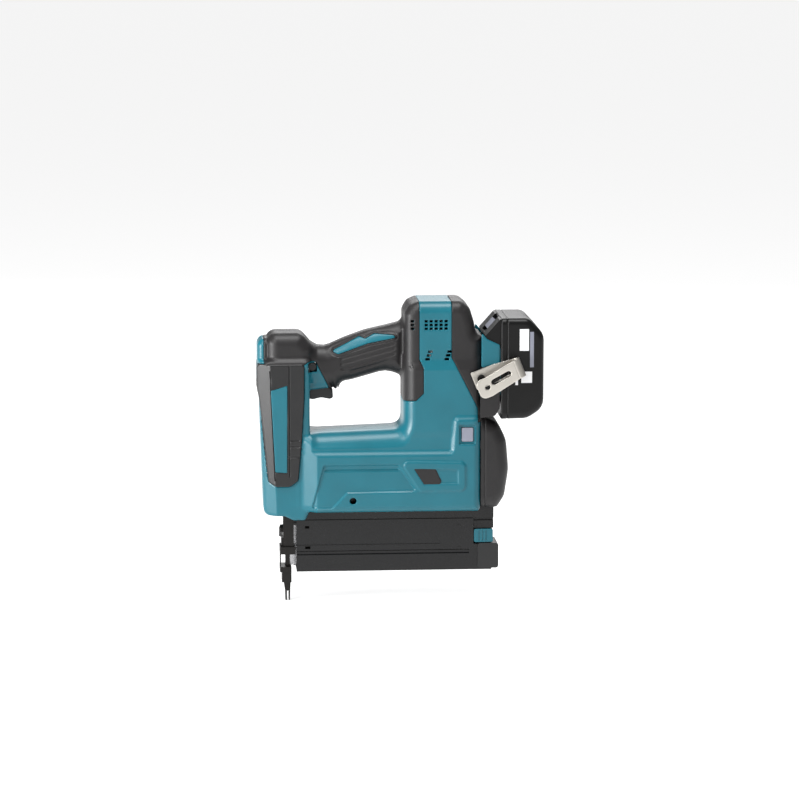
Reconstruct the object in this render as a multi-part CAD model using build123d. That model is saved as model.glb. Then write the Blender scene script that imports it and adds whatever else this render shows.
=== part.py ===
"""Cordless brad nailer, drawn upright: nose down, battery at the back.

Origin: the point on the driver's axis where the contact foot meets the work.
+X runs from the nose to the battery, +Z runs up the driver's axis, and the
left half of the tool is on -Y. All lengths are in millimetres.

How it works: the motor turns the crank gear, the crank drives a long
compression piston, the air goes up a pipe to the cylinder head, and the drive
piston throws its blade down the driver guide onto one brad.
"""

from build123d import *
import math
import os

# ---------------------------------------------------------------- driving sizes
SKIN = 2.0                 # thickness of the rubber and plastic overlays
WALL = 4.5                 # overlay and shell wall together
COLUMN_HALF = 28.0         # half widths across the tool, along Y
BODY_HALF = 36.0
MOTOR_HALF = 33.0
HANDLE_HALF = 17.0
COVER_HALF = 33.0

BLADE_STROKE = 78.0        # travel of the drive piston
FOOT_TRAVEL = 8.0          # travel of the contact foot
CRANK_RADIUS = 14.0

MOTOR_X = 140.0            # vertical axis of the motor
GEAR_MODULE = 0.8
PINION_TEETH = 11
CRANK_TEETH = 55
CRANK_X = MOTOR_X + GEAR_MODULE * (PINION_TEETH + CRANK_TEETH) / 2
GEAR_Z = 152.0             # underside of both gears
GEAR_FACE = 10.0

PUMP_Z = 125.0             # axis of the compression cylinder
PUMP_BORE = 20.0
PUMP_FRONT, PUMP_BACK = 34.0, 100.0
WRIST_X = 84.0             # wrist pin, with the crank at its far point

DRIVE_BORE = 13.0
DRIVE_LOW, DRIVE_HIGH = 118.0, 232.0
PISTON_Z = 214.0           # underside of the drive piston at rest

PIPE_X, PIPE_Y, PIPE_R = 8.0, 17.8, 3.2

RAIL_BACK = 193.0
RAIL_HALF = 13.0
DOOR_HALF = 14.0
DOOR_FRONT, DOOR_BACK = 8.0, 191.0
LATCH_X, LATCH_Z, LATCH_PIN = 189.0, 62.0, 2.2
DOOR_LOW, DOOR_HIGH = 29.0, 77.8

CELL_R, CELL_LONG = 7.6, 65.0
BATTERY_HALF = 37.0

HOOK_X, HOOK_Z = 178.5, 210.0   # hook screw
HOOK_SHEET = 1.8
HOOK_TILT = 22.0

HAIR = 0.3                 # gap between bodies that move past each other
RUNNING = 0.05             # radial clearance of a shaft in its bearing

# ------------------------------------------------- side outlines: (x, z, radius)
COLUMN = [
    (-29, 247, 8), (-29, 190, 0), (-22.5, 79, 5), (-2, 79, 0),
    (5, 75, 0), (16, 75, 3), (20, 84, 0), (20, 247, 6),
]
HEAD = [(-20, 222, 0), (-20, 251.5, 7), (14, 251.5, 10), (24, 237, 0), (24, 222, 0)]
HANDLE = [
    (8, 241, 0), (22, 237, 12), (36, 237.5, 14), (62, 247.5, 60), (112, 260, 0),
    (112, 209, 0), (90, 214, 18), (52, 200.5, 18), (12, 198, 0),
]
MOTOR = [
    (108, 150, 0), (108, 281.5, 14), (170, 281.5, 14), (174.5, 250, 0), (181, 248, 0), (181, 150, 0),
]
BODY = [(0, 84, 0), (181, 84, 2), (181, 216, 0), (108, 216, 0), (108, 158, 22), (4, 158, 0)]
COVER = [
    (181, 86, 0), (195, 86, 3), (202, 99, 12), (206, 125, 30),
    (203, 155, 20), (194, 171, 8), (181, 177, 0),
]
BATTERY = [
    (199, 169, 4), (222, 170, 12), (237.5, 180, 14), (237.5, 250, 12),
    (223, 265, 6), (199.0, 265, 3),
]

# ------------------------------------ regions that the overlays cover: (x, z)
GRIP_REGION = [
    (-20.5, 300), (-20.5, 224), (16, 224), (16, 232), (24, 238), (31, 228), (45, 201),
    (45, 190), (100, 200), (107, 178), (112, 178), (127, 189), (127, 218), (125.3, 232),
    (125.3, 300),
]
BUMPER_REGION = [(152.5, 300), (152.5, 238), (155, 221), (178.5, 178), (190, 178), (190, 300)]
PANEL_REGION = [
    (-30, 223.7), (15.5, 223.7), (15.5, 160), (13.5, 150), (10.5, 113), (2.5, 107.5),
    (-10, 107.5), (-15, 113), (-18.5, 130), (-24, 196), (-30, 196),
]

BADGE = [(-14.3, 198), (2.3, 201.6), (0.6, 122), (-10.3, 121.5)]
FAR = 60.0                 # beyond the outside of everything, along Y
LIFT = 4.0                 # the body and all it holds stand this far above their own datum

# ---------------------------- screws across the housing: (x, z, half width there)
SCREWS = [
    (60, 95.5, BODY_HALF), (163, 94.5, BODY_HALF), (105.2, 152.5, BODY_HALF),
    (118, 273.5, MOTOR_HALF), (162, 273.5, MOTOR_HALF), (172.5, 190, BODY_HALF),
    (75, 233, HANDLE_HALF), (-16, 96, COLUMN_HALF),
]
SCREW_R, BOSS_R, HEAD_R = 2.0, 4.2, 3.6


# -------------------------------------------------------------------- helpers
def inset_corners(corners, inset):
    """The outline moved inwards by inset, with radii that keep the walls even."""
    n = len(corners)
    area = sum(
        corners[i][0] * corners[(i + 1) % n][1] - corners[(i + 1) % n][0] * corners[i][1]
        for i in range(n)
    )
    turn = 1.0 if area > 0 else -1.0
    moved = []
    for i in range(n):
        (ax, az, _), (bx, bz, radius), (cx, cz, _) = corners[i - 1], corners[i], corners[(i + 1) % n]
        u = Vector(bx - ax, bz - az, 0).normalized()
        v = Vector(cx - bx, cz - bz, 0).normalized()
        cross = (u.X * v.Y - u.Y * v.X) * turn
        nu, nv = Vector(-u.Y, u.X, 0) * turn, Vector(-v.Y, v.X, 0) * turn
        shift = (nu + nv) * (inset / (1 + nu.dot(nv)))
        if radius:
            radius = max(radius - inset, 0.6) if cross > 0 else radius + inset
        moved.append((bx + shift.X, bz + shift.Y, radius))
    return moved


def outline(corners, inset=0.0):
    """A face in the XZ plane with rounded corners."""
    placed = inset_corners(corners, inset)
    with BuildLine(Plane.XZ) as line:
        FilletPolyline(*[(x, z) for x, z, _ in placed], radius=[r for *_, r in placed], close=True)
    return make_face(line.edges())


def slab(corners, half, edge, inset=0.0):
    """An outline with thickness across the tool, and its side edges rounded."""
    solid = extrude(outline(corners, inset), amount=half - inset, both=True)
    sides = solid.faces().filter_by(Axis.Y)
    return fillet(ShapeList([e for face in sides for e in face.edges()]), edge - inset)


def core_slab(corners, half, edge, inset):
    """The same outline moved inwards, its side edges cut flat so the wall stays even."""
    cut = 0.59 * (edge - inset)
    placed = inset_corners(corners, inset)
    placed = [(x, z, 0 if r < cut + 0.6 else r) for x, z, r in placed]
    with BuildLine(Plane.XZ) as line:
        FilletPolyline(*[(x, z) for x, z, _ in placed], radius=[r for *_, r in placed], close=True)
    solid = extrude(make_face(line.edges()), amount=half - inset, both=True)
    sides = solid.faces().filter_by(Axis.Y)
    return chamfer(ShapeList([e for face in sides for e in face.edges()]), cut)


def prism(points, low_y, high_y):
    """A straight-sided prism through a region of the side view."""
    face = outline([(x, z, 0) for x, z in points])
    block = extrude(face, amount=(high_y - low_y) / 2, both=True)
    return Pos(0, (low_y + high_y) / 2, 0) * block


def group(*shapes):
    """Separate solids kept together as one piece, without joining them."""
    return Compound(children=[solid for shape in shapes for solid in shape.solids()])


def box(low, high):
    """A box between two corners."""
    size = [b - a for a, b in zip(low, high)]
    return Pos(*[(a + b) / 2 for a, b in zip(low, high)]) * Box(*size)


def rod(x, y, low, high, radius):
    """A cylinder along Z."""
    return Pos(x, y, (low + high) / 2) * Cylinder(radius, high - low)


def rod_x(y, z, low, high, radius):
    """A cylinder along X."""
    return Pos((low + high) / 2, y, z) * Rot(0, 90, 0) * Cylinder(radius, high - low)


def rod_y(x, z, low, high, radius):
    """A cylinder along Y."""
    return Pos(x, (low + high) / 2, z) * Rot(90, 0, 0) * Cylinder(radius, high - low)


def tube(x, y, low, high, outer, inner):
    """A round tube along Z."""
    return rod(x, y, low, high, outer) - rod(x, y, low - 1, high + 1, inner)


def softened(solid, axis, radius):
    """Rounds the edges that run along one axis."""
    return fillet(solid.edges().filter_by(axis), radius)


def coil(radius, wire, height, turns):
    """A helical spring standing on Z=0."""
    path = Helix(pitch=height / turns, height=height, radius=radius)
    section = Plane(origin=path @ 0, z_dir=path % 0) * Circle(wire)
    return sweep(section, path=path, is_frenet=True)


def spur_gear(teeth, thickness, bore):
    """An involute gear standing on Z=0, with a tooth centred on +X."""
    pitch = GEAR_MODULE * teeth / 2
    base = pitch * math.cos(math.radians(20))
    tip, root = pitch + GEAR_MODULE, pitch - 1.25 * GEAR_MODULE
    backlash = 0.06
    half_at_pitch = (math.pi * GEAR_MODULE / 2 - backlash) / 2 / pitch
    involute = math.tan(math.radians(20)) - math.radians(20)
    flank = []
    for step in range(5):
        r = max(base, root) + (tip - max(base, root)) * step / 4
        roll = math.acos(min(1.0, base / r))
        flank.append((r, half_at_pitch + involute - (math.tan(roll) - roll)))
    points = []
    for tooth in range(teeth):
        middle = 2 * math.pi * tooth / teeth
        rising = ([(root, flank[0][1])] if root < base else []) + flank
        for r, half in rising:
            points.append((r * math.cos(middle - half), r * math.sin(middle - half)))
        for r, half in reversed(rising):
            points.append((r * math.cos(middle + half), r * math.sin(middle + half)))
    blank = extrude(make_face(Polyline(*points, close=True)), amount=thickness)
    return blank - Cylinder(bore, 3 * thickness)


# -------------------------------------------------------------- housing envelope
BLOCKS = [
    (COLUMN, COLUMN_HALF, 10),
    (HEAD, COLUMN_HALF + 1.5, 10),
    (HANDLE, HANDLE_HALF, 12),
    (MOTOR, MOTOR_HALF, 9),
    (BODY, BODY_HALF, 8),
]


def form(inset):
    """The whole housing's form, moved inwards by inset."""
    whole = Part()
    for corners, half, edge in BLOCKS:
        if corners is HANDLE:
            corners = [(x, z, 0) for x, z, _ in corners]
        whole += core_slab(corners, half, edge, inset)
    return whole


def vents():
    """The ventilation slots beside the fan and over the brush gear, on both sides."""
    holes = []
    for column in range(5):
        for row in range(3):
            holes.append((129.5 + 4.7 * column, 254.5 + 3.6 * row))
    for column in (131.5, 146.5):
        for row in range(3):
            holes.append((column + 0.5 * row, 226.0 + 3.4 * row))
    cut = [box((x - 1.1, -60, z - 1.0), (x + 1.1, 60, z + 1.0)) for x, z in holes]
    return Part() + cut


def screw_bosses():
    """Posts for the housing screws."""
    return Part() + [rod_y(x, z, -half + 3, half - 3, BOSS_R) for x, z, half in SCREWS]


def screw_holes():
    """Clearance for the shanks, and the recesses that the heads sink into on the right."""
    shanks = [rod_y(x, z, -half + 8, half + 2, SCREW_R + 0.1) for x, z, half in SCREWS]
    recesses = [rod_y(x, z, half - 6, half + 2, HEAD_R + 0.2) for x, z, half in SCREWS]
    blind = [rod_y(60, 95.5, -BODY_HALF - 2, -BODY_HALF + 2.5, HEAD_R)]
    return Part() + shanks + recesses + blind


def housing_parts():
    """Both shells, the overlays and the crank cover."""
    outer, core, cavity = form(0), form(SKIN), form(WALL)
    plain = outer
    grips, bumpers, panels, badges = Part(), Part(), Part(), Part()
    for sign in (-1, 1):
        whole_side, beside_nose = sorted((0, sign * FAR)), sorted((sign * 9, sign * FAR))
        under_grip = prism(GRIP_REGION, *whole_side)
        under_bumper = prism(BUMPER_REGION, *whole_side)
        under_panel = prism(PANEL_REGION, *beside_nose)
        badge = prism(BADGE, *beside_nose)
        plain = plain - under_grip - under_bumper - under_panel
        panel = (outer & under_panel) - core
        grip, bumper = (outer & under_grip) - core, (outer & under_bumper) - core
        grips = group(grips, grip - screw_holes() - trigger_slot())
        bumpers = group(bumpers, bumper - screw_holes() - hook_clearance())
        panels = group(panels, panel - badge)
        badges = group(badges, panel & badge)
    shell = (plain + core) - (cavity - screw_bosses()) - vents() - screw_holes()
    shell = shell - openings() + hook_bosses() - hook_bores()
    return {
        "housing_left": shell & box((-60, -FAR, 0), (260, 0, 320)),
        "housing_right": shell & box((-60, 0, 0), (260, FAR, 320)),
        "grip_overmoulds": grips,
        "motor_bumpers": bumpers,
        "column_panels": panels,
        "badge_inserts": badges,
    }


def crank_cover():
    """The rubber-faced cover behind the crank, open towards the body."""
    inner = core_slab(COVER, COVER_HALF, 6, 2.6)
    mouth = box((170, -COVER_HALF + 3.4, 90), (186, COVER_HALF - 3.4, 172))
    return slab(COVER, COVER_HALF, 6) - inner - mouth


# ----------------------------------------------- small places in the housing wall
STUD_X, STUD_Y = -1.0, 17.0
LOCK_X, LOCK_Z = 23.4, 219.0
LAMP_X, LAMP_R = -14.0, 4.0
PAD = [(116, 125.7), (137.5, 125.7), (144, 107.7), (126.2, 107.7)]
STATUS = ((160.8, 150.2), (171.6, 163.5))


def trigger_slot():
    return box((17, -8.6, 190), (44, 8.6, 217))


def openings():
    """Everything that passes through, or is let into, the housing's walls."""
    (x0, z0), (x1, z1) = STATUS
    cuts = [
        trigger_slot(),
        box((170, -28, 100), (182, 28, 173)),                         # to the crank cover
        box((-7, -12.5, 70), (30, 12.5, 90)),                         # nose
        box((5, -14.6, 70), (RAIL_BACK, 14.6, 84.5)),                 # magazine rail
        rod(STUD_X, STUD_Y, 70, 90, 2.6),                             # contact rod
        rod_y(LOCK_X, LOCK_Z, -30, 30, 3.7),
        rod(LAMP_X, 0, 70, 88, LAMP_R + 0.1),
        box((x0, -40, z0), (x1, -28, z1)),                            # status button
    ]
    cuts += [prism(PAD, side * 35 - 1.6, side * 35 + 1.6) for side in (-1, 1)]
    return Part() + cuts


def hook_bosses():
    """Round seats for the belt hook on both sides."""
    return Part() + [rod_y(HOOK_X, HOOK_Z, *sorted((s * 34, s * 38)), 6.0) for s in (-1, 1)]


def hook_clearance():
    """Room in the bumpers for the hook's seats."""
    return rod_y(HOOK_X, HOOK_Z, -FAR, FAR, 6.3)


def hook_bores():
    """M4 threads on both sides: the left one filled by the hook's screw, the right one free."""
    return Part() + [rod_y(HOOK_X, HOOK_Z, -40, -26, 1.8), rod_y(HOOK_X, HOOK_Z, 26, 40, 1.6)]


# ------------------------------------------------------------------- drive train
def drive_parts():
    """Drive cylinder, its head, the piston and the blade."""
    cylinder = tube(0, 0, DRIVE_LOW, DRIVE_HIGH, DRIVE_BORE + 2.2, DRIVE_BORE)
    head = softened(box((-15, -21.5, DRIVE_HIGH), (14, 21.5, 244)), Axis.Z, 5)
    head -= rod(0, 0, DRIVE_HIGH - 1, 240, 9)
    head -= rod(PIPE_X, PIPE_Y, DRIVE_HIGH - 1, 239, PIPE_R)
    head -= rod_y(PIPE_X, 236, 0, PIPE_Y + 3, 2.2)
    bumper = tube(0, 0, DRIVE_LOW + 3, DRIVE_LOW + 17, DRIVE_BORE - 0.1, 5)
    piston = rod(0, 0, PISTON_Z, PISTON_Z + 14, DRIVE_BORE - 0.06)
    for groove in (3, 9):
        piston -= tube(0, 0, PISTON_Z + groove, PISTON_Z + groove + 2, DRIVE_BORE + 1, DRIVE_BORE - 2)
    rings = Part() + [
        tube(0, 0, PISTON_Z + g + 0.1, PISTON_Z + g + 1.9, DRIVE_BORE - 0.04, DRIVE_BORE - 1.9)
        for g in (3, 9)
    ]
    piston -= rod(0, 0, PISTON_Z + 8, PISTON_Z + 15, 7)
    blade = box((-0.6, -1.5, 88), (0.6, 1.5, PISTON_Z)) + rod(0, 0, PISTON_Z - 10, PISTON_Z, 3.5)
    base = rod(0, 0, 104, DRIVE_LOW, DRIVE_BORE + 2.2) + box((-9, -11, 84.6), (9, 11, 104))
    base += tube(0, 0, DRIVE_LOW, DRIVE_LOW + 3, DRIVE_BORE - 0.1, 5)
    base -= box((-0.9, -1.9, 80), (0.9, 1.9, DRIVE_LOW + 4))
    return {
        "drive_cylinder": cylinder,
        "cylinder_head": head,
        "piston_bumper": bumper,
        "drive_piston": group(piston, rings),
        "driver_blade": blade,
        "cylinder_base": base,
    }


def nose_parts():
    """The driver guide, the cover plate in front of it, and their screws."""
    guide = box((-2.2, -9, 45), (5.6, 9, 88.5)) + box((-2.2, -5, 26), (2.0, 5, 45))
    guide = guide - box((-0.9, -1.9, 20), (0.9, 1.9, 95))
    guide = guide - box((0, -1.0, 31), (10, 1.0, 82))                # brads come in here
    plate = softened(box((-4.2, -9, 47), (-2.2, 9, 88)), Axis.X, 1.5)
    plate -= rod_x(0, 68, -8, 0, 2.05)
    latch = box((-6.0, -6.5, 52.5), (-4.2, 6.5, 60)) - box((-7, -3, 55), (-4, 3, 58))
    return {
        "driver_guide": guide,
        "nose_plate": plate,
        "nose_latch": softened(latch, Axis.X, 0.8),
    }


def contact_parts():
    """The safety foot that slides up the nose, its arm, rod, spring and depth wheel."""
    skirt = box((-5.6, -9.4, 18), (3.4, 9.4, 33)) - box((-2.5, -5.4, 17), (2.4, 5.4, 34))
    flange = box((-7.4, -11, 28), (3.4, 11, 33)) - box((-2.5, -5.4, 17), (2.4, 5.4, 34))
    taper = prism([(-5.6, 28), (3.4, 28), (2.2, 8.5), (-2.5, 8.5)], -4.6, 4.6)
    taper += prism([(-2.5, 9), (2.2, 9), (2.0, 0), (-2.3, 0)], -4.2, 4.2)
    taper -= box((-2.5, -5.4, 17.5), (2.4, 5.4, 34))
    foot = skirt + flange + taper
    foot -= box((-1.1, -2.2, -1), (1.1, 2.2, 40))
    foot -= box((-0.8, -6, -1), (0.8, 6, 9))                        # slot between the tines
    foot -= box((0.5, -1.3, 20), (4, 1.3, 34))                      # room for the first brad
    front = box((-7.4, -5, 33), (-6.3, 5, 52))
    collar = box((-7.4, -11.4, 45), (7.2, 11.4, 52)) - box((-6.3, -9.4, 44), (7.3, 9.4, 53))
    arm = front + collar + box((-3, 9.4, 52), (3, 11.4, 57))
    arm += box((-4, 9.4, 55), (2, STUD_Y + 4, 57))
    stud = rod(STUD_X, STUD_Y, 57, 97, 1.9) + tube(STUD_X, STUD_Y, 92, 94, 4.4, 1.5)
    wheel = rod(STUD_X, STUD_Y, 57 + HAIR, 66, 6.5) - rod(STUD_X, STUD_Y, 50, 70, 1.95)
    for notch in range(16):
        turn = math.radians(360 * notch / 16)
        x, y = STUD_X + 6.9 * math.cos(turn), STUD_Y + 6.9 * math.sin(turn)
        wheel -= rod(x, y, 55, 70, 0.8)
    spring = Pos(STUD_X, STUD_Y, 94.6) * coil(3.2, 0.4, 12.6, 5)
    return {
        "contact_foot": foot,
        "contact_arm": arm + stud,
        "depth_wheel": wheel,
        "contact_spring": spring,
    }


# --------------------------------------------------------------------- magazine
def magazine_parts():
    """The fixed rail, the sliding door, the pusher, the brads and the door latch."""
    rail = box((5.6, -RAIL_HALF, 78.2), (RAIL_BACK, RAIL_HALF, 88.5))
    rail += box((5.6, -9.5, 75), (RAIL_BACK, 9.5, 78.5))
    rail += box((5.6, -11.5, 73), (RAIL_BACK, 11.5, 75.2))
    rail += box((174.5, -11.5, 68), (RAIL_BACK, 11.5, 73.5))
    rail += box((5.6, 1.0, 32), (169.5, 3.6, 74))
    rail -= box((150, -0.5, 60), (166, 8, 66))
    brads = Part() + [
        box((1.4 + 1.28 * n, -0.6, 33), (2.6 + 1.28 * n, 0.6, 72.6)) for n in range(8)
    ]
    pusher = box((12, -4.5, 34), (34, 0.7, 72)) + box((14, -11.4, 55), (30, -4, 65))
    roll = rod_y(22, 44, -11, -5, 6.5) - rod_y(22, 44, -12, -4, 2.2)
    made = magazine_door()
    made["magazine_rail"] = rail
    made["brad_strip"] = brads
    made["brad_pusher"] = group(pusher, roll)
    made["magazine_latch"] = magazine_latch()
    return made


def magazine_door():
    """The folded channel that slides back off the rail, its rivets and its end cap."""
    wide, shallow, inside, lip = DOOR_HALF, DOOR_HALF - 1.2, 12.0, 9.9
    half = [(wide, DOOR_LOW), (wide, 44.5), (shallow, 45.5), (shallow, 47.6), (wide, 48.6),
            (wide, DOOR_HIGH), (lip, DOOR_HIGH), (lip, 75.6), (inside, 75.6), (inside, 31.0)]
    other = [(-y, z) for y, z in reversed(half)]
    section = make_face(Polyline(*[(DOOR_FRONT, y, z) for y, z in half + other], close=True))
    door = extrude(section, amount=174 - DOOR_FRONT, dir=(1, 0, 0))
    block = box((170, -wide, DOOR_LOW), (DOOR_BACK, wide, 53.3))
    door += block - box((168, -9, 33), (186, 9, 60))
    for side in (-1, 1):
        ear = box((186.8, min(side * 7.4, side * 10), 53), (191, max(side * 7.4, side * 10), 65))
        door += ear - rod_y(LATCH_X, LATCH_Z, -20, 20, LATCH_PIN + 0.05)
        door -= prism([(6, 65.5), (137, 65.5), (143, 54), (6, 54)], side * 14 - 0.8, side * 14 + 0.8)
        door -= box((16, side * 13 - 2, 70), (20, side * 13 + 2, 72.4))
        door -= box((16, side * 13 - 2, 50.5), (21, side * 13 + 2, 53))
    cap = softened(box((178, -15.2, 30.5), (197.5, 15.2, 54.2)), Axis.Y, 2.5)
    cap -= block + box((177, -14.6, 53.2), (192, 14.6, 55))
    for z in (71, 49.8):
        door += rod_y(160.5, z, -14.6, -12.5, 1.3) + rod_y(160.5, z, 12.5, 14.6, 1.3)
    return {"magazine_door": door, "magazine_end_cap": cap}


def magazine_latch():
    """The squeeze latch on the door, with grooves for the fingertips."""
    latch = softened(box((174.6, -14, 55), (192.4, 14, 67.4)), Axis.Y, 1.5)
    latch -= box((176.5, -10.4, 50), (194.5, 10.4, 65.6))
    latch += rod_y(LATCH_X, LATCH_Z, -12, 12, LATCH_PIN)
    for groove in range(3):
        x = 179 + 3.2 * groove
        for side in (-1, 1):
            latch -= box((x, side * 14 - 0.5, 56.5), (x + 1.2, side * 14 + 0.5, 66))
    return latch


# ------------------------------------------------------------------------ motor
def motor_parts():
    """Brushed motor, its fan, and the bearings in their brackets."""
    x = MOTOR_X
    can = tube(x, 0, 196, 250, 23.5, 21.6) + tube(x, 0, 196, 199, 22, 8.1)
    magnets = Part()
    for quarter in range(4):
        arc = tube(x, 0, 203, 240, 21.5, 18.2)
        wedge = extrude(make_face(Polyline((0, 0), (40, 27), (40, -27), close=True)), 60, both=True)
        magnets += arc & Pos(x, 0, 221) * Rot(0, 0, 90 * quarter) * wedge
    core = rod(x, 0, 205, 237, 17.6) - rod(x, 0, 200, 240, 2.5)
    for slot in range(12):
        turn = math.radians(30 * slot)
        core -= rod(x + 16.6 * math.cos(turn), 16.6 * math.sin(turn), 200, 240, 1.6)
    windings = tube(x, 0, 237, 242, 14.5, 5.5) + tube(x, 0, 201.8, 205, 14.5, 5.5)
    commutator = tube(x, 0, 243, 250, 8.5, 2.5)
    shaft = rod(x, 0, 150, 271, 2.5)
    fan = tube(x, 0, 253, 255, 22, 2.5) + tube(x, 0, 255, 261, 6, 2.5)
    for blade in range(18):
        fan += Pos(x, 0, 0) * Rot(0, 0, 20 * blade) * box((9, -0.6, 255), (21.5, 0.6, 261))
    brushes = Part() + [box((x + a, -2.5, 244), (x + b, 2.5, 249)) for a, b in ((8.6, 16), (-16, -8.6))]
    holder = tube(x, 0, 243, 250, 21.4, 10) - box((x - 16, -2.5, 244), (x + 16, 2.5, 249))
    bracket = softened(box((x - 26, -28, 264), (x + 26, 28, 269)), Axis.Z, 6) - rod(x, 0, 260, 272, 8)
    upper = tube(x, 0, 264, 269, 8, 2.5 + RUNNING)
    lower = tube(x, 0, 196, 201, 8, 2.5 + RUNNING)
    crank_bearings = tube(CRANK_X, 0, 143, 149, 9, 5 + RUNNING)
    crank_bearings += tube(CRANK_X, 0, 165, 171, 9, 5 + RUNNING)
    return {
        "motor_can": group(can, magnets),
        "armature_core": core,
        "armature_copper": group(windings, commutator),
        "motor_shaft": shaft,
        "cooling_fan": fan,
        "brush_holder": group(holder, brushes),
        "bearing_bracket": bracket,
        "ball_bearings": group(upper, lower, crank_bearings),
    }


def crank_parts():
    """The gear pair, the crank in its gear case, and the compression pump."""
    pinion = Pos(MOTOR_X, 0, GEAR_Z) * Rot(0, 0, 180 / PINION_TEETH) * spur_gear(
        PINION_TEETH, GEAR_FACE, 2.5
    )
    gear = Pos(CRANK_X, 0, GEAR_Z) * Rot(0, 0, 180) * spur_gear(CRANK_TEETH, GEAR_FACE, 5)
    for hole in range(6):
        turn = math.radians(60 * hole + 30)
        gear -= rod(CRANK_X + 13 * math.cos(turn), 13 * math.sin(turn), 150, 165, 4)
    shaft = rod(CRANK_X, 0, 141, 172, 5) + rod(CRANK_X, 0, 134, 141, 19)
    shaft -= box((CRANK_X - 20, 8, 133), (CRANK_X + 20, 20, 142)) - rod(CRANK_X, 0, 130, 145, 9)
    shaft += rod(CRANK_X + CRANK_RADIUS, 0, 131 + HAIR, 134, 5)
    case = softened(box((128, -27.5, 142), (193, 27.5, 172)), Axis.Z, 8)
    case -= box((120, -25, 149.5), (210, 25, 164.5))
    case -= rod(CRANK_X, 0, 130, 180, 9) + rod(MOTOR_X, 0, 130, 180, 6)
    case -= box((178, -40, 164), (200, 40, 180))

    cylinder = rod_x(0, PUMP_Z, PUMP_FRONT, PUMP_BACK, 23) - rod_x(0, PUMP_Z, 30, 110, PUMP_BORE)
    for fin in range(4):
        at = PUMP_FRONT + 12 + 13 * fin
        cylinder += rod_x(0, PUMP_Z, at, at + 2.5, 24.5) - rod_x(0, PUMP_Z, at - 1, at + 4, 22)
    cylinder_head = rod_x(0, PUMP_Z, 26, PUMP_FRONT, 24) - rod_x(PIPE_Y, PUMP_Z, 20, 40, PIPE_R - 0.9)
    piston = rod_x(0, PUMP_Z, 66, 96, PUMP_BORE - 0.1) - rod_x(0, PUMP_Z, 70, 100, 17)
    piston += rod(WRIST_X, 0, PUMP_Z - 18, PUMP_Z - 8, 6) + rod(WRIST_X, 0, PUMP_Z + 8, PUMP_Z + 18, 6)
    piston -= rod(WRIST_X, 0, 100, 150, 3.55)
    wrist = rod(WRIST_X, 0, PUMP_Z - 17, PUMP_Z + 17, 3.5)
    pin_x = CRANK_X + CRANK_RADIUS
    con = rod(WRIST_X, 0, 119, 131, 6) + rod(pin_x, 0, 119, 131, 8.5)
    con += box((WRIST_X + 3, -3.2, 121.5), (pin_x - 6, 3.2, 128.5))
    con -= rod(WRIST_X, 0, 110, 140, 3.55) + rod(pin_x, 0, 110, 140, 5.1)
    return {
        "motor_pinion": pinion,
        "crank_gear": gear,
        "crankshaft": shaft,
        "gear_case": case,
        "compression_cylinder": cylinder,
        "compression_head": group(cylinder_head, air_pipe()),
        "compression_piston": piston,
        "wrist_pin": wrist,
        "connecting_rod": con,
    }


def air_pipe():
    """From the compression head, up beside the drive cylinder, into the cylinder head."""
    with BuildLine() as line:
        FilletPolyline(
            (26, PIPE_Y, PUMP_Z), (PIPE_X, PIPE_Y, PUMP_Z), (PIPE_X, PIPE_Y, 238), radius=8
        )
    route = line.wires()[0]
    ends = Plane(origin=route @ 0, z_dir=route % 0)
    return sweep(ends * (Circle(PIPE_R - 0.05) - Circle(PIPE_R - 0.9)), path=route)


# --------------------------------------------------------- trigger, lamp, board
TRIGGER_X, TRIGGER_Z = 20.5, 212.0


def control_parts():
    """What the hand and the eye meet, and the board behind it."""
    trigger = extrude(outline(
        [(17.4, 193, 2), (23, 195, 6), (35, 195, 6), (40.4, 192, 1.5),
         (41, 202, 1.5), (38, 204.5, 1.5), (24, 212, 2), (18, 216, 2)]
    ), amount=8.0, both=True)
    trigger -= rod_y(TRIGGER_X, TRIGGER_Z, -20, 20, 1.55)
    switch = softened(box((30, -4, 218), (50, 4, 230)), Axis.Y, 1) + box((36, -1.5, 208.8), (40, 1.5, 218))
    spring = Pos(32.5, 0, 208.6) * coil(1.6, 0.25, 8.8, 7)
    lock = rod_y(LOCK_X, LOCK_Z, -15.5, 15.5, 3.6)
    lamp = rod(LAMP_X, 0, 79.8, 84, LAMP_R) + rod(LAMP_X, 0, 84, 88, 3)
    pads = Part() + [prism(PAD, *sorted((side * 33.5, side * 35.2))) for side in (-1, 1)]
    (x0, z0), (x1, z1) = STATUS
    status = softened(box((x0 + 0.2, -35, z0 + 0.2), (x1 - 0.2, -31, z1 - 0.2)), Axis.Y, 1)
    board = box((166.5, -24, 202), (168.1, 24, 250))
    board += Part() + [
        box((168.1, y, z), (w, y + 8, z + 9)) for y, z, w in ((-20, 206, 172), (-4, 222, 171), (10, 236, 173))
    ]
    return {
        "trigger": trigger,
        "trigger_switch": switch,
        "trigger_spring": spring,
        "lock_button": lock,
        "work_lamp": lamp,
        "side_rest_pads": pads,
        "status_button": status,
        "control_board": board,
    }


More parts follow.
